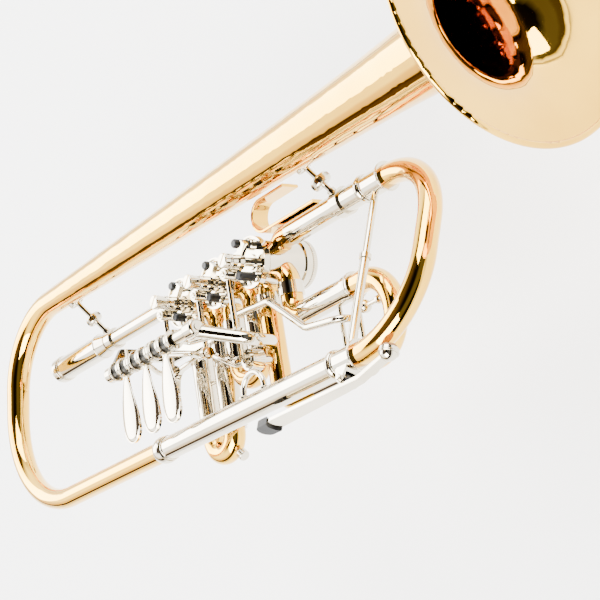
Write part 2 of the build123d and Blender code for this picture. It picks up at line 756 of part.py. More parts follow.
knob_turn = radians(-45)
with BuildPart() as first_slide_knob:
    outward = Vector(cos(knob_turn), sin(knob_turn), 0)
    seat = Vector(valve_xs[0], first_bow_y, 0) + outward * (leg_offset + tube_radius)
    add(ring(seat - outward * 0.8, outward, 3.4, 1.6))
    add(ring(seat + outward * 2.2, outward, 4.6, 3.1))
    add(bent_tube([(valve_xs[0] - leg_offset, first_bow_y + 1, 0),
                   (valve_xs[0] - leg_offset, first_bow_y - leg_offset, 0),
                   (valve_xs[0] + leg_offset, first_bow_y - leg_offset, 0),
                   (valve_xs[0] + leg_offset, first_bow_y + 1, 0)], leg_offset - 0.05,
                  tube_radius + 0.02), mode=Mode.SUBTRACT)
    fillet(first_slide_knob.edges().filter_by(GeomType.CIRCLE).group_by(SortBy.RADIUS)[-1], radius=0.8)
export(first_slide_knob, "first_slide_knob")

third_half = (third_upper_y - third_lower_y) / 2
third_mid = (third_upper_y + third_lower_y) / 2
third_far = third_bow_x + third_half
third_top = third_sleeve_end + slide_mouth
with BuildPart() as third_slide_bow:
    add(bent_tube([(third_top, third_upper_y, 0), (third_far, third_upper_y, 0),
                   (third_far, third_lower_y, 0), (third_top, third_lower_y, 0)],
                  third_half - 0.05, tube_radius, tube_bore))
export(third_slide_bow, "third_slide_bow")

with BuildPart() as third_slide_legs:
    for run_y in (third_upper_y, third_lower_y):
        add(bent_tube([(third_sleeve_start + inner_start_gap, run_y, 0), (third_top, run_y, 0)], 0,
                      inner_radius, inner_bore))
        add(ring((third_top, run_y, 0), (1, 0, 0), slide_ferrule, tube_radius + ferrule_wall,
                 tube_radius + solder_gap))
    add(ring((third_top + slide_ferrule / 2, third_lower_y + tube_radius + 0.6, 0), (0, 1, 0),
             2 * third_half - 2 * tube_radius - 1.2, 1.4))
export(third_slide_legs, "third_slide_legs")

knob_y = third_mid + 7.5
knob_wall_x = third_bow_x + sqrt((third_half - tube_radius) ** 2 - (knob_y - third_mid) ** 2)
knob_stem = 15
with BuildPart() as third_slide_knob:
    add(ring((knob_wall_x - knob_stem, knob_y, 0), (1, 0, 0), knob_stem + 1.5, 1.3))
    add(ball((knob_wall_x - knob_stem, knob_y, 0), 3.6, (1, 0, 0)))
    add(ring((knob_wall_x - 4, knob_y, 0), (1, 0, 0), 1.4, 2.3))
    add(bent_tube([(third_top, third_upper_y, 0), (third_far, third_upper_y, 0),
                   (third_far, third_lower_y, 0), (third_top, third_lower_y, 0)],
                  third_half - 0.05, tube_radius + 0.02), mode=Mode.SUBTRACT)
export(third_slide_knob, "third_slide_knob")

rod_z = 13
rod_radius = 2.1
rod_foot_x = third_top + slide_ferrule / 2
rod_tip = (valve_xs[1] + 8.5, -32.5, rod_z)
with BuildPart() as third_slide_rod:
    add(bent_tube([(rod_foot_x, -63, 1.4 + solder_gap), (rod_foot_x, -63, rod_z),
                   (valve_xs[2] + 35.5, -59, rod_z), (valve_xs[2] + 7, -35, rod_z), rod_tip],
                  [6, 9, 9], rod_radius))
    add(ball(rod_tip, rod_radius + 0.5, (1, 0.08, 0)))
export(third_slide_rod, "third_slide_rod")

# Fixed hand fittings
saddle_z = 15
saddle_post_x = valve_xs[2] - leg_offset
saddle_post_y = -62.5
with BuildPart() as thumb_saddle:
    with BuildLine() as saddle_path:
        FilletPolyline((148, -66, saddle_z), (153, -47, saddle_z), (186, -44.5, saddle_z),
                       (214, -61, saddle_z), (saddle_post_x, saddle_post_y, saddle_z),
                       radius=[9, 14, 10])
    with BuildSketch(Plane(origin=saddle_path.line @ 0, z_dir=saddle_path.line % 0, x_dir=(0, 0, 1))):
        RectangleRounded(5, 2.4, 0.9)
    sweep(path=saddle_path.line)
    add(ring((saddle_post_x, saddle_post_y, 4), (0, 0, 1), saddle_z - 6, 2.6))
    add(ring((saddle_post_x, saddle_post_y, saddle_z - 3), (0, 0, 1), 8, 5.8))
    add(ring((saddle_post_x, saddle_post_y, saddle_z + 5), (0, 0, 1), 1, 4.6))
    add(ring((saddle_post_x, saddle_post_y, saddle_z + 6), (0, 0, 1), 1, 2.4))
    add(ring((saddle_post_x, 0, 0), (0, -1, 0), 90, tube_radius + solder_gap), mode=Mode.SUBTRACT)
export(thumb_saddle, "thumb_saddle")

ring_half = 9.5
ring_wire = 1.5
ring_x = 256
ring_rise = 11
with BuildPart() as finger_ring:
    foot_y = lower_y + sleeve_radius - 0.5
    crest_y = lower_y + sleeve_radius + ring_rise
    add(bent_tube([(ring_x - ring_half, foot_y, lower_z), (ring_x - ring_half, crest_y, lower_z),
                   (ring_x + ring_half, crest_y, lower_z), (ring_x + ring_half, foot_y, lower_z)],
                  ring_half - 0.1, ring_wire))
    add(leg_blank(lower_y, lower_z, sleeve_seat), mode=Mode.SUBTRACT)
export(finger_ring, "finger_ring")

hook_thickness = 1.8
hook_width = 11
hook_low_y = sleeve_seat + hook_thickness / 2
hook_bend = 9
hook_root_x = 290
hook_turn_x = 243
hook_tip_x = 266
with BuildPart() as finger_hook:
    with BuildLine() as hook_path:
        Line((hook_root_x, hook_low_y, 0), (hook_turn_x, hook_low_y, 0))
        ThreePointArc((hook_turn_x, hook_low_y, 0), (hook_turn_x - hook_bend, hook_low_y + hook_bend, 0),
                      (hook_turn_x, hook_low_y + 2 * hook_bend, 0))
        Line((hook_turn_x, hook_low_y + 2 * hook_bend, 0), (hook_tip_x, hook_low_y + 2 * hook_bend, 0))
    with BuildSketch(Plane(origin=hook_path.line @ 0, z_dir=hook_path.line % 0, x_dir=(0, 0, 1))):
        RectangleRounded(hook_width, hook_thickness, 0.6)
    sweep(path=hook_path.line)
export(finger_hook, "finger_hook")


# Braces
rear_brace_gap = 5.5
rear_brace_lean = 14
rear_wheel = 5
front_brace_gap = 21
front_brace_lean = 15
front_wheel = 5.8
wheel_half = 2.6
stay_inset = 7


def brace(leg_point, leg_radius, bell_point, wheel):
    """Turned brace: a saddle round a leg, a stem with a wheel and a round foot on the bell."""
    run = bell_point - leg_point
    heading = run.normalized()
    seat = bell_radius(bell_point.X)
    middle = leg_point + heading * (leg_radius + (run.length - leg_radius - seat) * 0.45)
    with BuildPart() as stay:
        add(ring(middle - heading * wheel_half, heading, 2 * wheel_half, wheel))
        fillet(stay.edges().filter_by(GeomType.CIRCLE), radius=1.5)
        add(ring(leg_point - Vector(3, 0, 0), (1, 0, 0), 6, leg_radius + 1.3))
        add(ring(leg_point, heading, run.length, 1.5))
        add(ring(leg_point, heading, leg_radius + 3, 2.4))
        add(ring(bell_point - heading * (seat + 1.1), heading, 4, 5.2))
        add(bell_envelope.part, mode=Mode.SUBTRACT)
        add(leg_blank(0, 0, leg_radius + solder_gap), mode=Mode.SUBTRACT)
    return stay.part


rear_brace_x = receiver_length + rear_brace_gap
with BuildPart() as rear_brace:
    add(brace(Vector(rear_brace_x, 0, 0), leadpipe_radius,
              Vector(rear_brace_x - rear_brace_lean, bell_y, bell_z), rear_wheel))
export(rear_brace, "rear_brace")

front_brace_x = sleeve_front - front_brace_gap
with BuildPart() as front_brace:
    add(brace(Vector(front_brace_x, 0, 0), sleeve_radius,
              Vector(front_brace_x - front_brace_lean, bell_y, bell_z), front_wheel))
export(front_brace, "front_brace")

stay_x = slide_collar_end - stay_inset
with BuildPart() as tuning_slide_stay:
    across = Vector(0, lower_y, lower_z)
    heading = across.normalized()
    upper_root = Vector(stay_x - 1, 0, 0)
    add(ring(upper_root + heading * (sleeve_radius - 0.6), heading, 0.5 * across.length, 1.9))
    add(ring(upper_root + heading * (0.42 * across.length), heading,
             0.58 * across.length - sleeve_radius + 0.6, 2.4))
    add(ring(upper_root + heading * (0.42 * across.length), heading, 2.5, 3.1))
    for y, z in ((0, 0), (lower_y, lower_z)):
        add(leg_blank(y, z, sleeve_seat), mode=Mode.SUBTRACT)
export(tuning_slide_stay, "tuning_slide_stay")

with BuildPart() as leg_stays:
    low = Vector(third_stay_x - 8, third_lower_y, 0)
    lean = Vector(0, lower_y - third_lower_y, lower_z)
    add(ring(low + lean.normalized() * (sleeve_radius - 0.5), lean.normalized(),
             lean.length - 2 * sleeve_radius + 1, 1.6))
    for y, z in ((lower_y, lower_z), (third_lower_y, 0)):
        add(leg_blank(y, z, sleeve_seat), mode=Mode.SUBTRACT)
export(leg_stays, "leg_stays")

# Water key on the tuning bow's lower leg
key_up = Vector(0, -cos(radians(key_lean)), sin(radians(key_lean)))
key_across = Vector(1, 0, 0).cross(key_up)
key_origin = Vector(0, lower_y, lower_z)


def key_point(x, up, across=0):
    """Point of the water key, from the lower leg's axis."""
    return key_origin + Vector(x, 0, 0) + key_up * up + key_across * across


key_plane = Plane(origin=key_origin, x_dir=(1, 0, 0), z_dir=key_across)
nipple_top = 3.4
tuning_blank = bent_tube([(slide_collar_end + 0.2, 0, 0), (bow_far, 0, 0), (bow_far, lower_y, lower_z),
                          (slide_collar_end + 0.2, lower_y, lower_z)], bow_corner, tube_radius + 0.02)

with BuildPart() as water_key_saddle:
    add(ring(key_point(key_cup_x, -6), key_up, nipple_top + 6, 3, 1.4))
    with BuildSketch(key_plane.offset(-4.2)):
        with BuildLine():
            Polyline((key_hinge_x - 5, 5), (key_hinge_x + 5, 5), (key_hinge_x + 2.2, key_hinge_up),
                     (key_hinge_x - 2.2, key_hinge_up), close=True)
        make_face()
        with Locations((key_hinge_x, key_hinge_up)):
            Circle(2.2)
    extrude(amount=8.4)
    with BuildSketch(key_plane.offset(-2.9)):
        with Locations((key_hinge_x, key_hinge_up)):
            Rectangle(12, 2 * key_barrel + 1.2)
    extrude(amount=5.8, mode=Mode.SUBTRACT)
    add(ring(key_point(key_hinge_x, key_hinge_up, -4.2), key_across, 8.4, key_pin))
    add(ring(key_point(key_hinge_x, key_hinge_up, 4.2), key_across, 1.4, 2))
    add(leg_blank(lower_y, lower_z, sleeve_seat), mode=Mode.SUBTRACT)
    add(tuning_blank, mode=Mode.SUBTRACT)
export(water_key_saddle, "water_key_saddle")

with BuildPart() as tuning_bow_ferrules:
    for y, z in ((0, 0), (lower_y, lower_z)):
        add(ring((sleeve_front + collar_gap, y, z), (1, 0, 0), slide_collar_end - sleeve_front - collar_gap,
                 sleeve_radius, sleeve_bore))
        add(ring((slide_collar_end, y, z), (1, 0, 0), 1.6, tube_radius + ferrule_wall + 0.4,
                 tube_radius + solder_gap))
export(tuning_bow_ferrules, "tuning_bow_ferrules")

key_half = 3.2
bar_thick = 1.8
with BuildPart() as water_key_lever:
    with BuildSketch(key_plane.offset(-key_tip_half)):
        with BuildLine():
            Polyline((key_tip_x, key_tip_up), (key_hinge_x, key_bar_up - 0.8),
                     (key_hinge_x + 12, key_bar_up - 1.6), (key_cup_x - 1, nipple_top + 4.2),
                     (key_cup_x, nipple_top + 6),
                     (key_hinge_x + 13, key_bar_up + 0.6), (key_hinge_x, key_bar_up + bar_thick - 0.8),
                     (key_tip_x, key_tip_up + bar_thick), close=True)
        make_face()
    extrude(amount=2 * key_tip_half)
    with BuildSketch(Plane(origin=key_point(0, 0), x_dir=(1, 0, 0), z_dir=key_up)):
        for side in (1, -1):
            with BuildLine():
                Polyline((key_tip_x - 12, 20 * side), (key_cup_x + 8, 20 * side),
                         (key_cup_x + 8, 2.4 * side), (key_hinge_x + 14, 2.4 * side),
                         (key_hinge_x - 2, key_half * side), (key_tip_x + 6, key_tip_half * side),
                         (key_tip_x - 12, key_tip_half * side), close=True)
            make_face()
    extrude(amount=30, mode=Mode.SUBTRACT)
    add(ring(key_point(key_hinge_x, key_hinge_up, -2.7), key_across, 5.4, key_barrel))
    with BuildSketch(key_plane.offset(-1.4)):
        with Locations((key_hinge_x, (key_hinge_up + key_bar_up) / 2)):
            Rectangle(3.4, key_bar_up - key_hinge_up)
    extrude(amount=2.8)
    add(ring(key_point(key_cup_x, nipple_top + 1.9), key_up, 2.6, key_cup_radius))
    add(ball(key_point(key_cup_x, nipple_top + 3.5), key_cup_radius - 0.4, key_up))
    add(ring(key_point(key_cup_x, nipple_top - 8), key_up, 9.6, key_cup_radius + 3), mode=Mode.SUBTRACT)
    add(ring(key_point(key_cup_x, nipple_top + 1), key_up, 1.6, key_pad_radius + solder_gap),
        mode=Mode.SUBTRACT)
    add(ring(key_point(key_hinge_x, key_hinge_up, -4), key_across, 8, key_pin + 0.06),
        mode=Mode.SUBTRACT)
export(water_key_lever, "water_key_lever")

with BuildPart() as water_key_cork:
    add(ring(key_point(key_cup_x, nipple_top + 0.1), key_up, 2.5, key_pad_radius))
export(water_key_cork, "water_key_cork")

tip_length = 9
with BuildPart() as water_key_tip:
    with BuildSketch(Plane(origin=key_point(0, key_tip_up - 1.2), x_dir=(1, 0, 0), z_dir=key_up)):
        with BuildLine():
            Polyline((key_tip_x + 2, key_tip_half + 0.6), (key_tip_x + tip_length, key_tip_half + 0.6))
            ThreePointArc((key_tip_x + tip_length, key_tip_half + 0.6), (key_tip_x + tip_length - 2.6, 0),
                          (key_tip_x + tip_length, -key_tip_half - 0.6))
            Line((key_tip_x + tip_length, -key_tip_half - 0.6), (key_tip_x + 2, -key_tip_half - 0.6))
            ThreePointArc((key_tip_x + 2, -key_tip_half - 0.6), (key_tip_x - 3, 0),
                          (key_tip_x + 2, key_tip_half + 0.6))
        make_face()
    extrude(amount=bar_thick + 2.4)
    add(water_key_lever.part, mode=Mode.SUBTRACT)
export(water_key_tip, "water_key_tip")

print("parts written", len(os.listdir("parts")))
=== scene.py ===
"""A rotary valve trumpet in lacquered gold brass and nickel silver, dressed around its CAD frame."""
import json
import logging
from dataclasses import dataclass
from enum import Enum
from math import cos, pi, radians, sin

import bpy
from mathutils import Matrix, Vector

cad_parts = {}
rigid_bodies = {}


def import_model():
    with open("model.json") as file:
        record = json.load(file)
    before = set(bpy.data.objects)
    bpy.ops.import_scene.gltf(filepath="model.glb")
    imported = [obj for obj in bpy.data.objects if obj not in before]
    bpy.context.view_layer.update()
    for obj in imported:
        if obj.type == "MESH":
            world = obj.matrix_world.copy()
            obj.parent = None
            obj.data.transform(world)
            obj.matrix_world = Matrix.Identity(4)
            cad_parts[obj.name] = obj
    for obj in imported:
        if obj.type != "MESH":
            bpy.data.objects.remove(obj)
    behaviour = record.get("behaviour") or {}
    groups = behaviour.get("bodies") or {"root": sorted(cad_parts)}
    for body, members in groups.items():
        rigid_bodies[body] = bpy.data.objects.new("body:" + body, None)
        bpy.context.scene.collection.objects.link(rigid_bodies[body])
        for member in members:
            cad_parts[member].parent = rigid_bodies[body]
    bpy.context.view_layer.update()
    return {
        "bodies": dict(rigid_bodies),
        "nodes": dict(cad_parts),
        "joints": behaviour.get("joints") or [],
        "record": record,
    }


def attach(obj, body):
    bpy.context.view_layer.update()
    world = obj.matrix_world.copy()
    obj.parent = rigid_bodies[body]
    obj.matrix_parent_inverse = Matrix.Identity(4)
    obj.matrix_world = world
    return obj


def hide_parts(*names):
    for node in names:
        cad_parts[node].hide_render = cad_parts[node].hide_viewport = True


LOG = logging.getLogger("trumpet")
MM = 0.001
Point = tuple[float, float, float]

VALVE_XS = (169.5, 205.5, 241.5)
VALVE_Y = -10.68
PLATE_TOP = 15.5
PIN_CIRCLE = 8.0
LINK_LEVELS = (24.5, 24.5, 28.0)
AXLE_Y = -44.0
AXLE_Z = 48.0
LEVER_XS = (153.0, 174.5, 196.0)
LEVER_SPAN = 20.8
LOWER_Y = -95.0
LOWER_Z = 37.0


class Slot(Enum):
    """Material slots that the record names."""

    GOLD = "gold_brass"
    NICKEL = "nickel_silver"
    SPRING = "spring_steel"
    RUBBER = "black_rubber"
    CORK = "natural_cork"


def linear_colour(hex_value: str, alpha: float = 1.0) -> tuple[float, float, float, float]:
    """Turn an sRGB hex value into Blender's linear colour.

    Args:
        hex_value: Colour as six hex digits.
        alpha: Opacity.

    Returns:
        The linear red, green, blue and opacity.
    """
    channels = [int(hex_value[i:i + 2], 16) / 255 for i in (0, 2, 4)]
    linear = [c / 12.92 if c <= 0.04045 else ((c + 0.055) / 1.055) ** 2.4 for c in channels]
    return (linear[0], linear[1], linear[2], alpha)


def add_node(tree: bpy.types.NodeTree, kind: str, values: dict | None = None,
             links: dict | None = None, **settings: object) -> bpy.types.Node:
    """Add one shader node with its settings, socket values and incoming links.

    Args:
        tree: Node tree that takes the node.
        kind: Blender's type name of the node.
        values: Default values by socket name or number.
        links: Output sockets by the name or number of the socket they feed.
        settings: Attributes of the node itself.

    Returns:
        The new node.
    """
    node = tree.nodes.new(kind)
    for name, value in settings.items():
        setattr(node, name, value)
    for name, value in (values or {}).items():
        node.inputs[name].default_value = value
    for name, socket in (links or {}).items():
        tree.links.new(socket, node.inputs[name])
    return node


@dataclass(frozen=True)
class PolishedMetal:
    """Finish of a buffed metal: a clear colour, faint buffing lines and a little waviness.

    Buffing leaves hairlines a few hundredths of a millimetre apart. They are drawn about half a
    millimetre apart here, so that they show as a faint streak in the highlights.
    """

    name: str
    colour: str
    shade: str
    roughness: float
    lacquer: float = 0.0
    lacquer_roughness: float = 0.04
    streak_mm: float = 0.5
    streak_stretch: float = 0.05
    streak_spread: tuple[float, float] = (0.75, 1.35)
    tarnish_mm: float = 60.0
    tarnish_range: tuple[float, float] = (0.35, 0.65)
    bump_mm: float = 0.004
    bump_strength: float = 0.35

    def build(self) -> bpy.types.Material:
        """Make the Blender material.

        Returns:
            The finished material.
        """
        material = bpy.data.materials.new(self.name)
        material.use_nodes = True
        tree = material.node_tree
        tree.nodes.clear()
        place = add_node(tree, "ShaderNodeTexCoord").outputs["Object"]
        clouds = add_node(tree, "ShaderNodeTexNoise", {"Scale": 1 / (self.tarnish_mm * MM), "Detail": 3.0},
                          {"Vector": place})
        low, high = self.tarnish_range
        tone = add_node(tree, "ShaderNodeMapRange", {"From Min": low, "From Max": high},
                        {"Value": clouds.outputs["Fac"]})
        ramp = add_node(tree, "ShaderNodeValToRGB", None, {"Fac": tone.outputs["Result"]})
        ramp.color_ramp.elements[0].color = linear_colour(self.shade)
        ramp.color_ramp.elements[1].color = linear_colour(self.colour)
        stretch = add_node(tree, "ShaderNodeMapping", {"Scale": (self.streak_stretch, 1.0, 1.0)},
                           {"Vector": place})
        lines = add_node(tree, "ShaderNodeTexNoise", {"Scale": 1 / (self.streak_mm * MM), "Detail": 2.0},
                         {"Vector": stretch.outputs["Vector"]})
        smooth, rough = self.streak_spread
        gloss = add_node(tree, "ShaderNodeMapRange",
                         {"To Min": self.roughness * smooth, "To Max": self.roughness * rough},
                         {"Value": lines.outputs["Fac"]})
        bump = add_node(tree, "ShaderNodeBump",
                        {"Strength": self.bump_strength, "Distance": self.bump_mm * MM},
                        {"Height": lines.outputs["Fac"]})
        surface = add_node(tree, "ShaderNodeBsdfPrincipled",
                           {"Metallic": 1.0, "Coat Weight": self.lacquer,
                            "Coat Roughness": self.lacquer_roughness},
                           {"Base Color": ramp.outputs["Color"], "Roughness": gloss.outputs["Result"],
                            "Normal": bump.outputs["Normal"]})
        add_node(tree, "ShaderNodeOutputMaterial", None, {"Surface": surface.outputs["BSDF"]})
        return material


@dataclass(frozen=True)
class SoftGoods:
    """Finish of a dull, non-metal material: rubber or cork."""

    name: str
    colour: str
    shade: str
    roughness: float
    grain_mm: float
    bump_mm: float
    sheen: float = 0.25
    grain_range: tuple[float, float] = (0.35, 0.65)
    bump_strength: float = 0.6

    def build(self) -> bpy.types.Material:
        """Make the Blender material.

        Returns:
            The finished material.
        """
        material = bpy.data.materials.new(self.name)
        material.use_nodes = True
        tree = material.node_tree
        tree.nodes.clear()
        place = add_node(tree, "ShaderNodeTexCoord").outputs["Object"]
        grain = add_node(tree, "ShaderNodeTexNoise", {"Scale": 1 / (self.grain_mm * MM), "Detail": 4.0},
                         {"Vector": place})
        ramp = add_node(tree, "ShaderNodeValToRGB", None, {"Fac": grain.outputs["Fac"]})
        for element, place, tint in zip(ramp.color_ramp.elements, self.grain_range,
                                        (self.shade, self.colour)):
            element.position = place
            element.color = linear_colour(tint)
        bump = add_node(tree, "ShaderNodeBump",
                        {"Strength": self.bump_strength, "Distance": self.bump_mm * MM},
                        {"Height": grain.outputs["Fac"]})
        surface = add_node(tree, "ShaderNodeBsdfPrincipled",
                           {"Roughness": self.roughness, "Specular IOR Level": self.sheen},
                           {"Base Color": ramp.outputs["Color"], "Normal": bump.outputs["Normal"]})
        add_node(tree, "ShaderNodeOutputMaterial", None, {"Surface": surface.outputs["BSDF"]})
        return material


# Buffed brass under clear lacquer: a warm mirror with a second, fainter highlight on top.
GOLD_BRASS = PolishedMetal("lacquered_gold_brass", "E6B43A", "D9A52F", 0.05, lacquer=0.15)
# Buffed nickel silver without lacquer: a slightly warm white mirror.
NICKEL_SILVER = PolishedMetal("polished_nickel_silver", "D2C9B5", "C2B8A2", 0.05)
# Drawn and blued steel wire: dark, with blurred highlights along the wire.
SPRING_STEEL = PolishedMetal("drawn_spring_steel", "4E4C48", "3C3A37", 0.3)
# Moulded rubber: near black and dull, so that it reads as a gap between the metals.
RUBBER = SoftGoods("black_rubber", "060607", "030303", 0.45, 0.8, 0.01)
# Pressed cork: light and dark granules about a millimetre across, with no shine.
CORK = SoftGoods("pressed_cork", "B98B5E", "8A6340", 0.9, 1.0, 0.08)


class Dresser:
    """Keeps the finishes, and gives them to CAD nodes and to new pieces."""

    FINISHES = {Slot.GOLD: GOLD_BRASS, Slot.NICKEL: NICKEL_SILVER, Slot.SPRING: SPRING_STEEL,
                Slot.RUBBER: RUBBER, Slot.CORK: CORK}

    def __init__(self) -> None:
        """Build every finish once."""
        self.materials = {slot: finish.build() for slot, finish in self.FINISHES.items()}

    def dress_nodes(self, frame: dict) -> None:
        """Put the finishes on the CAD nodes.
        """
        slots = {row["node"]: Slot(row["material_slot"]) for row in frame["record"]["subparts"]}
        for name, node in frame["nodes"].items():
            material = self.materials[slots[name]]
            if not node.data.materials:
                node.data.materials.append(material)
            for index in range(len(node.material_slots)):
                node.material_slots[index].material = material
        LOG.info("dressed %d nodes", len(slots))

    def finish_piece(self, piece: bpy.types.Object, body: str, slot: Slot) -> bpy.types.Object:
        """Give a new piece its finish and the body that carries it.

        Args:
            piece: The finished mesh.
            body: The body that it rides on.
            slot: The material slot of its finish.

        Returns:
            The same piece.
        """
        piece.data.materials.clear()
        piece.data.materials.append(self.materials[slot])
        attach(piece, body)
        LOG.info("%s rides on %s", piece.name, body)
        return piece


class Lathe:
    """Turns, winds and knurls round pieces along any axis. Sizes are in millimetres."""

    @staticmethod
    def place(piece: bpy.types.Object, name: str, origin: Point, direction: Point,
              sharp_deg: float = 32.0) -> bpy.types.Object:
        """Move a piece from the turning axis to its place and settle its mesh there.

        Args:
            piece: The piece, made round Z at the origin in metres.
            name: Name it gets.
            origin: Where its base goes.
            direction: Where its axis points.
            sharp_deg: Edges sharper than this stay crisp.

        Returns:
            The same piece, with its place in its mesh.
        """
        bpy.ops.object.mode_set(mode="EDIT")
        bpy.ops.mesh.select_all(action="SELECT")
        bpy.ops.mesh.normals_make_consistent(inside=False)
        bpy.ops.object.mode_set(mode="OBJECT")
        piece.rotation_mode = "QUATERNION"
        piece.rotation_quaternion = Vector(direction).to_track_quat("Z", "Y")
        piece.location = Vector(origin) * MM
        bpy.ops.object.transform_apply(location=True, rotation=True, scale=True)
        bpy.ops.object.shade_smooth_by_angle(angle=radians(sharp_deg))
        piece.name = name
        piece.data.name = name
        return piece

    @staticmethod
    def _disc(radius: float, height: float, segments: int) -> bpy.types.Object:
        """Start a piece as one flat disc, in edit mode, with all of it selected.

        Args:
            radius: The disc's radius.
            height: Its height on the turning axis.
            segments: Sides of the disc.

        Returns:
            The new object.
        """
        bpy.ops.object.select_all(action="DESELECT")
        bpy.ops.mesh.primitive_circle_add(vertices=segments, radius=radius * MM, fill_type="NGON",
                                          location=(0.0, 0.0, height * MM))
        piece = bpy.context.active_object
        bpy.ops.object.transform_apply(location=True, rotation=True, scale=True)
        bpy.ops.object.mode_set(mode="EDIT")
        bpy.ops.mesh.select_all(action="SELECT")
        return piece

    @classmethod
    def turn(cls, name: str, origin: Point, direction: Point, profile: list[tuple[float, float]],
             segments: int = 40) -> bpy.types.Object:
        """Turn a solid piece by drawing its top disc up through a profile.

        Args:
            name: Name of the piece.
            origin: Where the profile's zero height goes.
            direction: The axis.
            profile: Heights and radii from the base to the top.
            segments: Sides round the axis.

        Returns:
            The turned piece.
        """
        height, radius = profile[0]
        piece = cls._disc(radius, height, segments)
        for next_height, next_radius in profile[1:]:
            bpy.ops.mesh.extrude_region_move(
                TRANSFORM_OT_translate={"value": (0.0, 0.0, (next_height - height) * MM)})
            share = next_radius / radius
            if abs(share - 1) > 1e-6:
                bpy.ops.transform.resize(value=(share, share, 1.0),
                                         center_override=(0.0, 0.0, next_height * MM))
            height, radius = next_height, next_radius
        return cls.place(piece, name, origin, direction)

    @classmethod
    def hoop(cls, name: str, origin: Point, direction: Point, radius: float, wire: float) -> bpy.types.Object:
        """Lay a round bead, such as the line that a ferrule is turned with.

        Args:
            name: Name of the piece.
            origin: Centre of the bead.
            direction: The axis.
            radius: Radius to the middle of the bead.
            wire: Radius of the bead's section.

        Returns:
            The bead.
        """
        bpy.ops.object.select_all(action="DESELECT")
        bpy.ops.mesh.primitive_torus_add(major_radius=radius * MM, minor_radius=wire * MM,
                                         major_segments=56, minor_segments=10)
        return cls.place(bpy.context.active_object, name, origin, direction, 80.0)

    @classmethod
    def wind(cls, name: str, origin: Point, direction: Point, radius: float, wire: float, pitch: float,
             turns: int) -> bpy.types.Object:
        """Wind a coil spring as one wire.

        Args:
            name: Name of the piece.
            origin: Where the coil starts on its axis.
            direction: The axis.
            radius: Radius to the middle of the wire.
            wire: Radius of the wire.
            pitch: Rise of one turn.
            turns: Number of turns.

        Returns:
            The coil.
        """
        bpy.ops.object.select_all(action="DESELECT")
        bpy.ops.mesh.primitive_circle_add(vertices=10, radius=wire * MM, location=(radius * MM, 0.0, 0.0),
                                          rotation=(pi / 2, 0.0, 0.0))
        piece = bpy.context.active_object
        bpy.ops.object.transform_apply(location=True, rotation=True, scale=True)
        bpy.ops.object.modifier_add(type="SCREW")
        screw = piece.modifiers[-1]
        screw.angle = 2 * pi
        screw.screw_offset = pitch * MM
        screw.iterations = turns
        screw.steps = 28
        screw.render_steps = 28
        bpy.ops.object.modifier_apply(modifier=screw.name)
        bpy.ops.object.mode_set(mode="EDIT")
        bpy.ops.mesh.select_all(action="SELECT")
        bpy.ops.mesh.fill_holes(sides=0)
        bpy.ops.object.mode_set(mode="OBJECT")
        return cls.place(piece, name, origin, direction, 50.0)

    @classmethod
    def knurl(cls, name: str, origin: Point, direction: Point, radius: float, width: float,
              ridges: int) -> bpy.types.Object:
        """Make a knurled wheel: a disc whose every second side face is drawn out to a ridge.

        Args:
            name: Name of the piece.
            origin: Centre of its first face.
            direction: The axis.
            radius: Radius to the bottom of the grooves.
            width: Thickness along the axis.
            ridges: Number of ridges.

        Returns:
            The wheel.
        """
        piece = cls._disc(radius, 0.0, 2 * ridges)
        bpy.ops.mesh.extrude_region_move(TRANSFORM_OT_translate={"value": (0.0, 0.0, width * MM)})
        bpy.ops.mesh.select_all(action="DESELECT")
        bpy.ops.object.mode_set(mode="OBJECT")
        sides = [face for face in piece.data.polygons if abs(face.normal.z) < 0.5]
        for face in sides:
            middle = face.center
            turn = (Vector((1.0, 0.0)).angle_signed(Vector((middle.x, middle.y))) / (2 * pi) * 2 * ridges)
            face.select = round(turn - 0.5) % 2 == 0
        bpy.ops.object.mode_set(mode="EDIT")
        bpy.ops.mesh.select_mode(type="FACE")
        bpy.ops.mesh.inset(thickness=0.06 * MM, depth=0.0, use_individual=True)
        bpy.ops.mesh.inset(thickness=0.12 * MM, depth=0.3 * MM, use_individual=True)
        bpy.ops.object.mode_set(mode="OBJECT")
        return cls.place(piece, name, origin, direction, 20.0)

    @classmethod
    def screw(cls, name: str, origin: Point, direction: Point, radius: float, height: float,
              slot_deg: float) -> bpy.types.Object:
        """Make a slotted cheese-head screw.

        Args:
            name: Name of the piece.
            origin: Centre of the head's underside.
            direction: The axis.
            radius: Radius of the head.
            height: Height of the head.
            slot_deg: Turn of the slot about the axis.

        Returns:
            The screw.
        """
        bevel = 0.18 * radius
        profile = [(-0.3, radius * 0.9), (0, radius), (height - bevel, radius), (height, radius - bevel)]
        head = cls.turn(name, (0, 0, 0), (0, 0, 1), profile, 32)
        bpy.ops.object.select_all(action="DESELECT")
        bpy.ops.mesh.primitive_cube_add(size=1.0, location=(0.0, 0.0, height * MM),
                                        rotation=(0.0, 0.0, radians(slot_deg)))
        cutter = bpy.context.active_object
        cutter.scale = (3 * radius * MM, 0.3 * radius * MM, 0.9 * height * MM)
        bpy.ops.object.select_all(action="DESELECT")
        head.select_set(True)
        bpy.context.view_layer.objects.active = head
        bpy.ops.object.modifier_add(type="BOOLEAN")
        cut = head.modifiers[-1]
        cut.operation = "DIFFERENCE"
        cut.object = cutter
        bpy.ops.object.modifier_apply(modifier=cut.name)
        bpy.data.objects.remove(cutter)
        return cls.place(head, name, origin, direction)


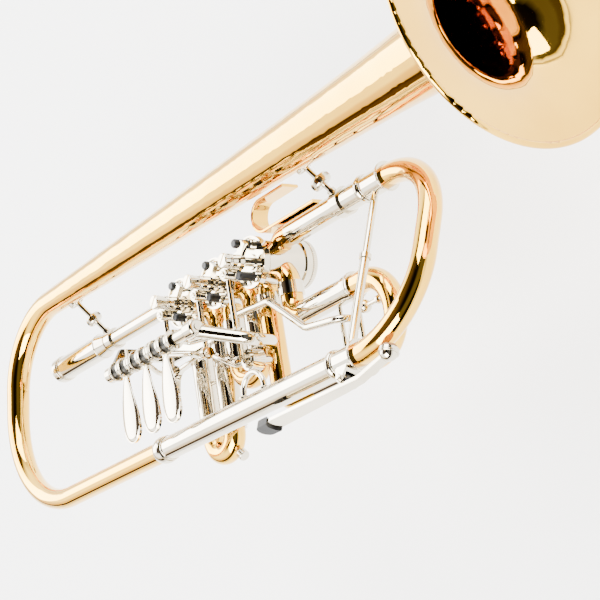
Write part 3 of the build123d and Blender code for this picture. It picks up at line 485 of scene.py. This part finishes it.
def on_valve(index: int, radius: float, degrees_round: float, z: float) -> Point:
    """Give a point round a valve's axis.

    Args:
        index: Which valve, from 0.
        radius: Distance from the axis.
        degrees_round: Angle from +X.
        z: Height.

    Returns:
        The point in millimetres.
    """
    return (VALVE_XS[index] + radius * cos(radians(degrees_round)),
            VALVE_Y + radius * sin(radians(degrees_round)), z)


@dataclass
class ValveTop:
    """What is screwed on top of and under one valve."""

    dresser: Dresser
    index: int
    plate_screw_circle: float = 11.4
    plate_screw_turns: tuple[int, ...] = (112, 180, 248)
    bumper_circle: float = 9.5
    bumper_turn: float = 75.7
    hub_radius: float = 3.72
    casing_radius: float = 12.4
    cap_radius: float = 13.35
    cap_height: float = -19.0
    cap_face: float = -20.0

    def build(self) -> None:
        """Build the valve's plate screws, bumper seats, hub lines, pin screw and cap knurling."""
        number = self.index + 1
        level = LINK_LEVELS[self.index]
        axis = (VALVE_XS[self.index], VALVE_Y)
        body = f"valve_{number}"
        for turn in self.plate_screw_turns:
            screw = Lathe.screw(f"plate_screw_{number}_{turn}",
                                on_valve(self.index, self.plate_screw_circle, turn, PLATE_TOP), (0, 0, 1),
                                1.25, 0.9, turn * 1.7)
            self._put(screw, "trumpet")
        for side, turn in (("left", self.bumper_turn), ("right", -self.bumper_turn)):
            seat = Lathe.turn(f"bumper_seat_{number}_{side}",
                              on_valve(self.index, self.bumper_circle, turn, PLATE_TOP), (0, 0, 1),
                              [(0, 3.1), (1.5, 3.1), (1.9, 2.75), (1.9, 2.6)])
            self._put(seat, "trumpet")
        for step, height in enumerate((level + 1.6, level + 2.6)):
            self._put(Lathe.hoop(f"hub_line_{number}_{step}", (*axis, height), (0, 0, 1),
                                 self.hub_radius, 0.28), body)
        self._put(Lathe.screw(f"pin_screw_{number}", on_valve(self.index, PIN_CIRCLE, 225, level + 3.55),
                              (0, 0, 1), 1.7, 0.8, 20), body)
        for step, height in enumerate((-13.2, 11.6)):
            self._put(Lathe.hoop(f"casing_line_{number}_{step}", (*axis, height), (0, 0, 1),
                                 self.casing_radius, 0.35), "trumpet")
        self._put(Lathe.knurl(f"cap_knurling_{number}", (*axis, self.cap_height), (0, 0, 1), self.cap_radius,
                              2.4, 72), "trumpet")
        self._put(Lathe.turn(f"cap_crown_{number}", (*axis, self.cap_face), (0, 0, -1),
                             [(-0.4, 11.2), (0, 11.2), (0.45, 10.2), (0.6, 5.0), (0.9, 4.4), (1.0, 3.6)]),
                  "trumpet")

    def _put(self, piece: bpy.types.Object, body: str) -> None:
        """Finish a piece in nickel silver and let it ride on a body."""
        self.dresser.finish_piece(piece, body, Slot.NICKEL)


@dataclass
class LeverTrain:
    """Springs, crowned paddles and screws of the finger levers."""

    dresser: Dresser
    rear_collar: float = 1.8
    middle_collar: float = 4.0
    front_collar: float = 3.8
    coil_radius: float = 4.15
    coil_wire: float = 0.32
    coil_turns: int = 7
    coil_room: float = 0.35
    collar_radius: float = 5.35
    paddle_half: Point = (7.5, 19.0, 1.5)
    paddle_reach: float = 24.2
    paddle_taper: float = -0.9
    axle_rear: float = 135.3

    def build(self) -> None:
        """Build the levers' dressing."""
        self._wind_springs()
        for number, x in enumerate(LEVER_XS, start=1):
            self._crown_paddle(number, x)
            self._line_collars(number, x)
        screw = Lathe.screw("axle_screw_rear", (self.axle_rear, AXLE_Y, AXLE_Z), (-1, 0, 0), 3.0, 1.0, 35)
        self.dresser.finish_piece(screw, "trumpet", Slot.NICKEL)

    def _wind_springs(self) -> None:
        """Wind two coils on each lever's barrel and join the six, in place of the plain springs."""
        bay = (LEVER_SPAN - self.rear_collar - self.middle_collar - self.front_collar) / 2
        length = bay - 2 * self.coil_room
        coils = []
        for x in LEVER_XS:
            for inset in (self.rear_collar, self.rear_collar + bay + self.middle_collar):
                start = x - LEVER_SPAN / 2 + inset + self.coil_room
                coils.append(Lathe.wind("coil", (start, AXLE_Y, AXLE_Z), (1, 0, 0), self.coil_radius,
                                        self.coil_wire, length / self.coil_turns, self.coil_turns))
        bpy.ops.object.select_all(action="DESELECT")
        for coil in coils:
            coil.select_set(True)
        bpy.context.view_layer.objects.active = coils[0]
        bpy.ops.object.join()
        springs = bpy.context.active_object
        springs.name = "lever_spring_coils"
        self.dresser.finish_piece(springs, "trumpet", Slot.SPRING)
        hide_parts("lever_springs")

    def _crown_paddle(self, number: int, x: float) -> None:
        """Lay a crowned, tapering face on one lever's paddle.

        Args:
            number: Which lever, from 1.
            x: Middle of its barrel.
        """
        bpy.ops.object.select_all(action="DESELECT")
        bpy.ops.mesh.primitive_uv_sphere_add(segments=40, ring_count=20, radius=1.0)
        crown = bpy.context.active_object
        crown.scale = Vector(self.paddle_half) * MM
        bpy.ops.object.transform_apply(location=True, rotation=True, scale=True)
        bpy.ops.object.modifier_add(type="SIMPLE_DEFORM")
        taper = crown.modifiers[-1]
        taper.deform_method = "TAPER"
        taper.deform_axis = "Y"
        taper.factor = self.paddle_taper
        bpy.ops.object.modifier_apply(modifier=taper.name)
        crown.location = ((x - 1.0) * MM, (AXLE_Y - self.paddle_reach) * MM,
                          (AXLE_Z + self.paddle_half[2] / 2) * MM)
        bpy.ops.object.transform_apply(location=True, rotation=True, scale=True)
        bpy.ops.object.shade_smooth_by_angle(angle=radians(60))
        crown.name = f"paddle_crown_{number}"
        self.dresser.finish_piece(crown, f"finger_lever_{number}", Slot.NICKEL)

    def _line_collars(self, number: int, x: float) -> None:
        """Lay a turned line on each of one lever's collars.

        Args:
            number: Which lever, from 1.
            x: Middle of its barrel.
        """
        for step, shift in enumerate((-9.5, -1.0, 8.5)):
            line = Lathe.hoop(f"collar_line_{number}_{step}", (x + shift, AXLE_Y, AXLE_Z), (1, 0, 0),
                              self.collar_radius, 0.35)
            self.dresser.finish_piece(line, f"finger_lever_{number}", Slot.NICKEL)


@dataclass
class SlideTrim:
    """Turned lines on the sleeves, ferrules and receiver."""

    dresser: Dresser

    # Each line's name, body, centre, axis, radius and the radius of its bead.
    LINES = (
        ("receiver_front", "trumpet", (53.2, 0, 0), (1, 0, 0), 7.62, 0.4),
        ("receiver_rear", "trumpet", (7.0, 0, 0), (1, 0, 0), 7.62, 0.4),
        ("upper_sleeve_mouth", "trumpet", (327.0, 0, 0), (1, 0, 0), 7.0, 0.35),
        ("lower_sleeve_mouth", "trumpet", (327.0, LOWER_Y, LOWER_Z), (1, 0, 0), 7.0, 0.35),
        ("lower_sleeve_root", "trumpet", (170.2, LOWER_Y, LOWER_Z), (1, 0, 0), 6.75, 0.35),
        ("upper_collar_root", "tuning_slide", (331.2, 0, 0), (1, 0, 0), 6.7, 0.4),
        ("lower_collar_root", "tuning_slide", (331.2, LOWER_Y, LOWER_Z), (1, 0, 0), 6.7, 0.4),
        ("upper_bow_ferrule", "tuning_slide", (346.8, 0, 0), (1, 0, 0), 7.75, 0.45),
        ("lower_bow_ferrule", "tuning_slide", (346.8, LOWER_Y, LOWER_Z), (1, 0, 0), 7.75, 0.45),
        ("first_slide_left", "first_slide", (158.8, -85.8, 0), (0, 1, 0), 7.4, 0.35),
        ("first_slide_right", "first_slide", (180.2, -85.8, 0), (0, 1, 0), 7.4, 0.35),
        ("second_slide_left", "second_slide", (194.8, -51.8, 0), (0, 1, 0), 7.4, 0.35),
        ("second_slide_right", "second_slide", (216.2, -51.8, 0), (0, 1, 0), 7.4, 0.35),
        ("third_slide_upper", "third_slide", (306.3, -45, 0), (1, 0, 0), 7.4, 0.35),
        ("third_slide_lower", "third_slide", (306.3, -86, 0), (1, 0, 0), 7.4, 0.35),
        ("cup_line", "water_key", (371.5, -101.6, 39.6), (0, -0.932, 0.363), 4.95, 0.3),
    )

    def build(self) -> None:
        """Lay every line."""
        for name, body, centre, axis, radius, wire in self.LINES:
            line = Lathe.hoop(f"{name}_line", centre, axis, radius, wire)
            self.dresser.finish_piece(line, body, Slot.NICKEL)


@dataclass
class Brace:
    """A bell brace's knurled wheel and the line on its foot."""

    dresser: Dresser
    name: str
    leg: Point
    leg_radius: float
    foot: Point
    foot_radius: float
    wheel: float
    wheel_share: float = 0.45
    knurl_width: float = 2.4

    def build(self) -> None:
        """Knurl the wheel and line the foot."""
        run = Vector(self.foot) - Vector(self.leg)
        heading = run.normalized()
        way = self.leg_radius + (run.length - self.leg_radius - self.foot_radius) * self.wheel_share
        start = Vector(self.leg) + heading * (way - self.knurl_width / 2)
        wheel = Lathe.knurl(f"{self.name}_knurling", tuple(start), tuple(heading), self.wheel - 0.12,
                            self.knurl_width, 40)
        self.dresser.finish_piece(wheel, "trumpet", Slot.NICKEL)
        base = Vector(self.leg) + heading * (run.length - self.foot_radius - 1.1)
        foot = Lathe.hoop(f"{self.name}_foot_line", tuple(base), tuple(heading), 4.3, 0.4)
        self.dresser.finish_piece(foot, "trumpet", Slot.NICKEL)


@dataclass
class HandFittings:
    """Details of the thumb saddle, finger ring and finger hook."""

    dresser: Dresser
    saddle_post: tuple[float, float] = (230.82, -62.5)
    nut_radius: float = 5.68
    ring_xs: tuple[float, float] = (246.5, 265.5)
    ring_seat: float = 5.9
    hook_xs: tuple[float, float] = (254.0, 284.0)
    hook_top: float = 8.3

    def build(self) -> None:
        """Build the fittings' details."""
        pieces = [
            Lathe.knurl("thumb_nut_knurling", (*self.saddle_post, 12.6), (0, 0, 1), self.nut_radius, 6.6, 30),
            Lathe.screw("thumb_nut_screw", (*self.saddle_post, 20.9), (0, 0, 1), 2.1, 0.9, 60),
        ]
        pieces += [Lathe.turn(f"ring_foot_{side}", (x, LOWER_Y + self.ring_seat, LOWER_Z), (0, 1, 0),
                              [(0, 3.0), (0.9, 3.0), (1.3, 2.5), (1.6, 1.7)])
                   for side, x in zip(("rear", "front"), self.ring_xs)]
        pieces += [Lathe.screw(f"hook_screw_{side}", (x, self.hook_top, 0), (0, 1, 0), 1.5, 0.7, 30)
                   for side, x in zip(("rear", "front"), self.hook_xs)]
        for piece in pieces:
            self.dresser.finish_piece(piece, "trumpet", Slot.NICKEL)


@dataclass
class WaterKeyTrim:
    """The water key's spring and pivot screws."""

    dresser: Dresser
    hinge_x: float = 338.0
    hinge_up: float = 11.5
    lean_deg: float = 21.3

    def build(self) -> None:
        """Wind the spring and set the screws."""
        lean = radians(self.lean_deg)
        up = Vector((0.0, -cos(lean), sin(lean)))
        across = Vector((1.0, 0.0, 0.0)).cross(up)
        hinge = Vector((self.hinge_x, LOWER_Y, LOWER_Z)) + up * self.hinge_up
        put = self.dresser.finish_piece
        put(Lathe.wind("water_key_coil", tuple(hinge - across * 2.3), tuple(across), 3.05, 0.36, 0.92, 5),
            "water_key", Slot.SPRING)
        put(Lathe.screw("water_key_screw_front", tuple(hinge + across * 5.5), tuple(across), 2.1, 0.9, 15),
            "tuning_slide", Slot.NICKEL)
        put(Lathe.turn("water_key_screw_rear", tuple(hinge - across * 4.1), tuple(-across),
                       [(0, 1.7), (0.9, 1.7), (1.2, 1.3)]), "tuning_slide", Slot.NICKEL)


@dataclass
class Studio:
    """Pale floor, soft lights and the camera at the photograph's place."""

    eye_mm: Point = (1062.3, -323.0, 615.3)
    right: Point = (0.565, -0.155, -0.810)
    up: Point = (0.311, 0.950, 0.035)
    lens_px: float = 1966.9
    frame_px: int = 600
    sensor_mm: float = 36.0
    aim: Point = (0.2, -0.02, 0.0)
    floor_drop: float = 0.12
    floor_side: float = 12.0
    sky_strength: float = 5.0
    sky_up: Point = (0.0, 0.25, 0.85)

    # Each soft box's name, place and side in metres, and its power in watts.
    SOFT_BOXES = (("key_light", (0.6, -1.4, 1.6), 1.4, 170.0),
                  ("fill_light", (-1.3, 0.6, 1.3), 1.6, 120.0),
                  ("rim_light", (0.9, 1.6, 1.0), 1.4, 120.0))
    # The sky's colours by height, from the floor's edge to overhead.
    SKY = ((0.0, "3A2E20"), (0.09, "1C140C"), (0.14, "C9B79C"), (0.27, "D8CBB8"), (0.34, "FFFFFF"),
           (0.56, "FFFFFF"), (0.70, "2A2119"), (1.0, "4A4038"))

    def build_camera(self) -> None:
        """Set the camera square to the directions that the photograph gives."""
        data = bpy.data.cameras.new("camera")
        data.sensor_width = self.sensor_mm
        data.lens = self.lens_px * self.sensor_mm / self.frame_px
        data.clip_start = 0.05
        data.clip_end = 20.0
        camera = bpy.data.objects.new("camera", data)
        bpy.context.scene.collection.objects.link(camera)
        right = Vector(self.right).normalized()
        up = (Vector(self.up) - right * Vector(self.up).dot(right)).normalized()
        back = right.cross(up)
        camera.matrix_world = Matrix.Translation(Vector(self.eye_mm) * MM) @ Matrix(
            (right, up, back)).transposed().to_4x4()
        bpy.context.scene.camera = camera

    def build_floor(self) -> None:
        """Lay a large pale floor under the trumpet."""
        bpy.ops.object.select_all(action="DESELECT")
        bpy.ops.mesh.primitive_plane_add(size=self.floor_side, location=(0.2, 0.0, -self.floor_drop))
        floor = bpy.context.active_object
        floor.name = "floor"
        material = bpy.data.materials.new("pale_floor")
        material.use_nodes = True
        surface = material.node_tree.nodes["Principled BSDF"]
        surface.inputs["Base Color"].default_value = linear_colour("FBFBFA")
        surface.inputs["Roughness"].default_value = 0.9
        floor.data.materials.append(material)

    def build_lights(self) -> None:
        """Hang the soft boxes and grade the sky."""
        for name, place, side, power in self.SOFT_BOXES:
            self._soft_box(name, place, side, power)
        self._build_sky()

    def _build_sky(self) -> None:
        """Grade the sky.

        It is pale at the floor, has a thin dark band just above and bright walls, and is dim overhead and
        towards the bell's end.
        """
        world = bpy.data.worlds.new("studio_world")
        world.use_nodes = True
        tree = world.node_tree
        tree.nodes.clear()
        way = add_node(tree, "ShaderNodeTexCoord").outputs["Generated"]
        split = add_node(tree, "ShaderNodeSeparateXYZ", None, {"Vector": way})
        height = add_node(tree, "ShaderNodeVectorMath", {1: self.sky_up}, {0: way},
                          operation="DOT_PRODUCT")
        ramp = add_node(tree, "ShaderNodeValToRGB", None, {"Fac": height.outputs["Value"]})
        elements = ramp.color_ramp.elements
        elements.remove(elements[1])
        for number, (place, tint) in enumerate(self.SKY):
            element = elements[0] if number == 0 else elements.new(place)
            element.position = place
            element.color = linear_colour(tint)
        side = add_node(tree, "ShaderNodeMapRange",
                        {"From Min": -0.15, "From Max": 0.3, "To Min": 1.0, "To Max": 0.04},
                        {"Value": split.outputs["X"]})
        shaded = add_node(tree, "ShaderNodeMixRGB", {0: 1.0},
                          {1: ramp.outputs["Color"], 2: side.outputs["Result"]}, blend_type="MULTIPLY")
        cove = add_node(tree, "ShaderNodeMapRange", {"From Min": 0.03, "From Max": 0.09},
                        {"Value": split.outputs["Z"]})
        sky = add_node(tree, "ShaderNodeMixRGB", {1: linear_colour("F4F4F2")},
                       {0: cove.outputs["Result"], 2: shaded.outputs[0]})
        light = add_node(tree, "ShaderNodeBackground", {"Strength": self.sky_strength},
                         {"Color": sky.outputs[0]})
        add_node(tree, "ShaderNodeOutputWorld", None, {"Surface": light.outputs["Background"]})
        bpy.context.scene.world = world

    def _soft_box(self, name: str, place: Point, side: float, power: float) -> None:
        """Hang one soft box, pointing at the trumpet.

        Args:
            name: The lamp's name.
            place: Where it hangs, in metres.
            side: Side of its square, in metres.
            power: Its power in watts.
        """
        data = bpy.data.lights.new(name, "AREA")
        data.size = side
        data.energy = power
        lamp = bpy.data.objects.new(name, data)
        bpy.context.scene.collection.objects.link(lamp)
        lamp.location = place
        lamp.rotation_euler = (Vector(self.aim) - Vector(place)).to_track_quat("-Z", "Y").to_euler()


def main() -> None:
    """Build the trumpet's dressing in order, then the camera, floor and lights."""
    logging.basicConfig(level=logging.INFO, format="%(message)s")
    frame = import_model()
    dresser = Dresser()
    dresser.dress_nodes(frame)
    assemblies = [ValveTop(dresser, index) for index in range(3)]
    assemblies += [LeverTrain(dresser), SlideTrim(dresser), HandFittings(dresser), WaterKeyTrim(dresser),
                   Brace(dresser, "rear_brace", leg=(67.5, 0, 0), leg_radius=5.3, foot=(53.5, 34, 21),
                         foot_radius=8.4, wheel=5.0),
                   Brace(dresser, "front_brace", leg=(309, 0, 0), leg_radius=6.6, foot=(294, 34, 21),
                         foot_radius=14.1, wheel=5.8)]
    for assembly in assemblies:
        assembly.build()
        LOG.info("built %s", type(assembly).__name__)
    studio = Studio()
    studio.build_camera()
    studio.build_floor()
    studio.build_lights()


if __name__ == "__main__":
    main()
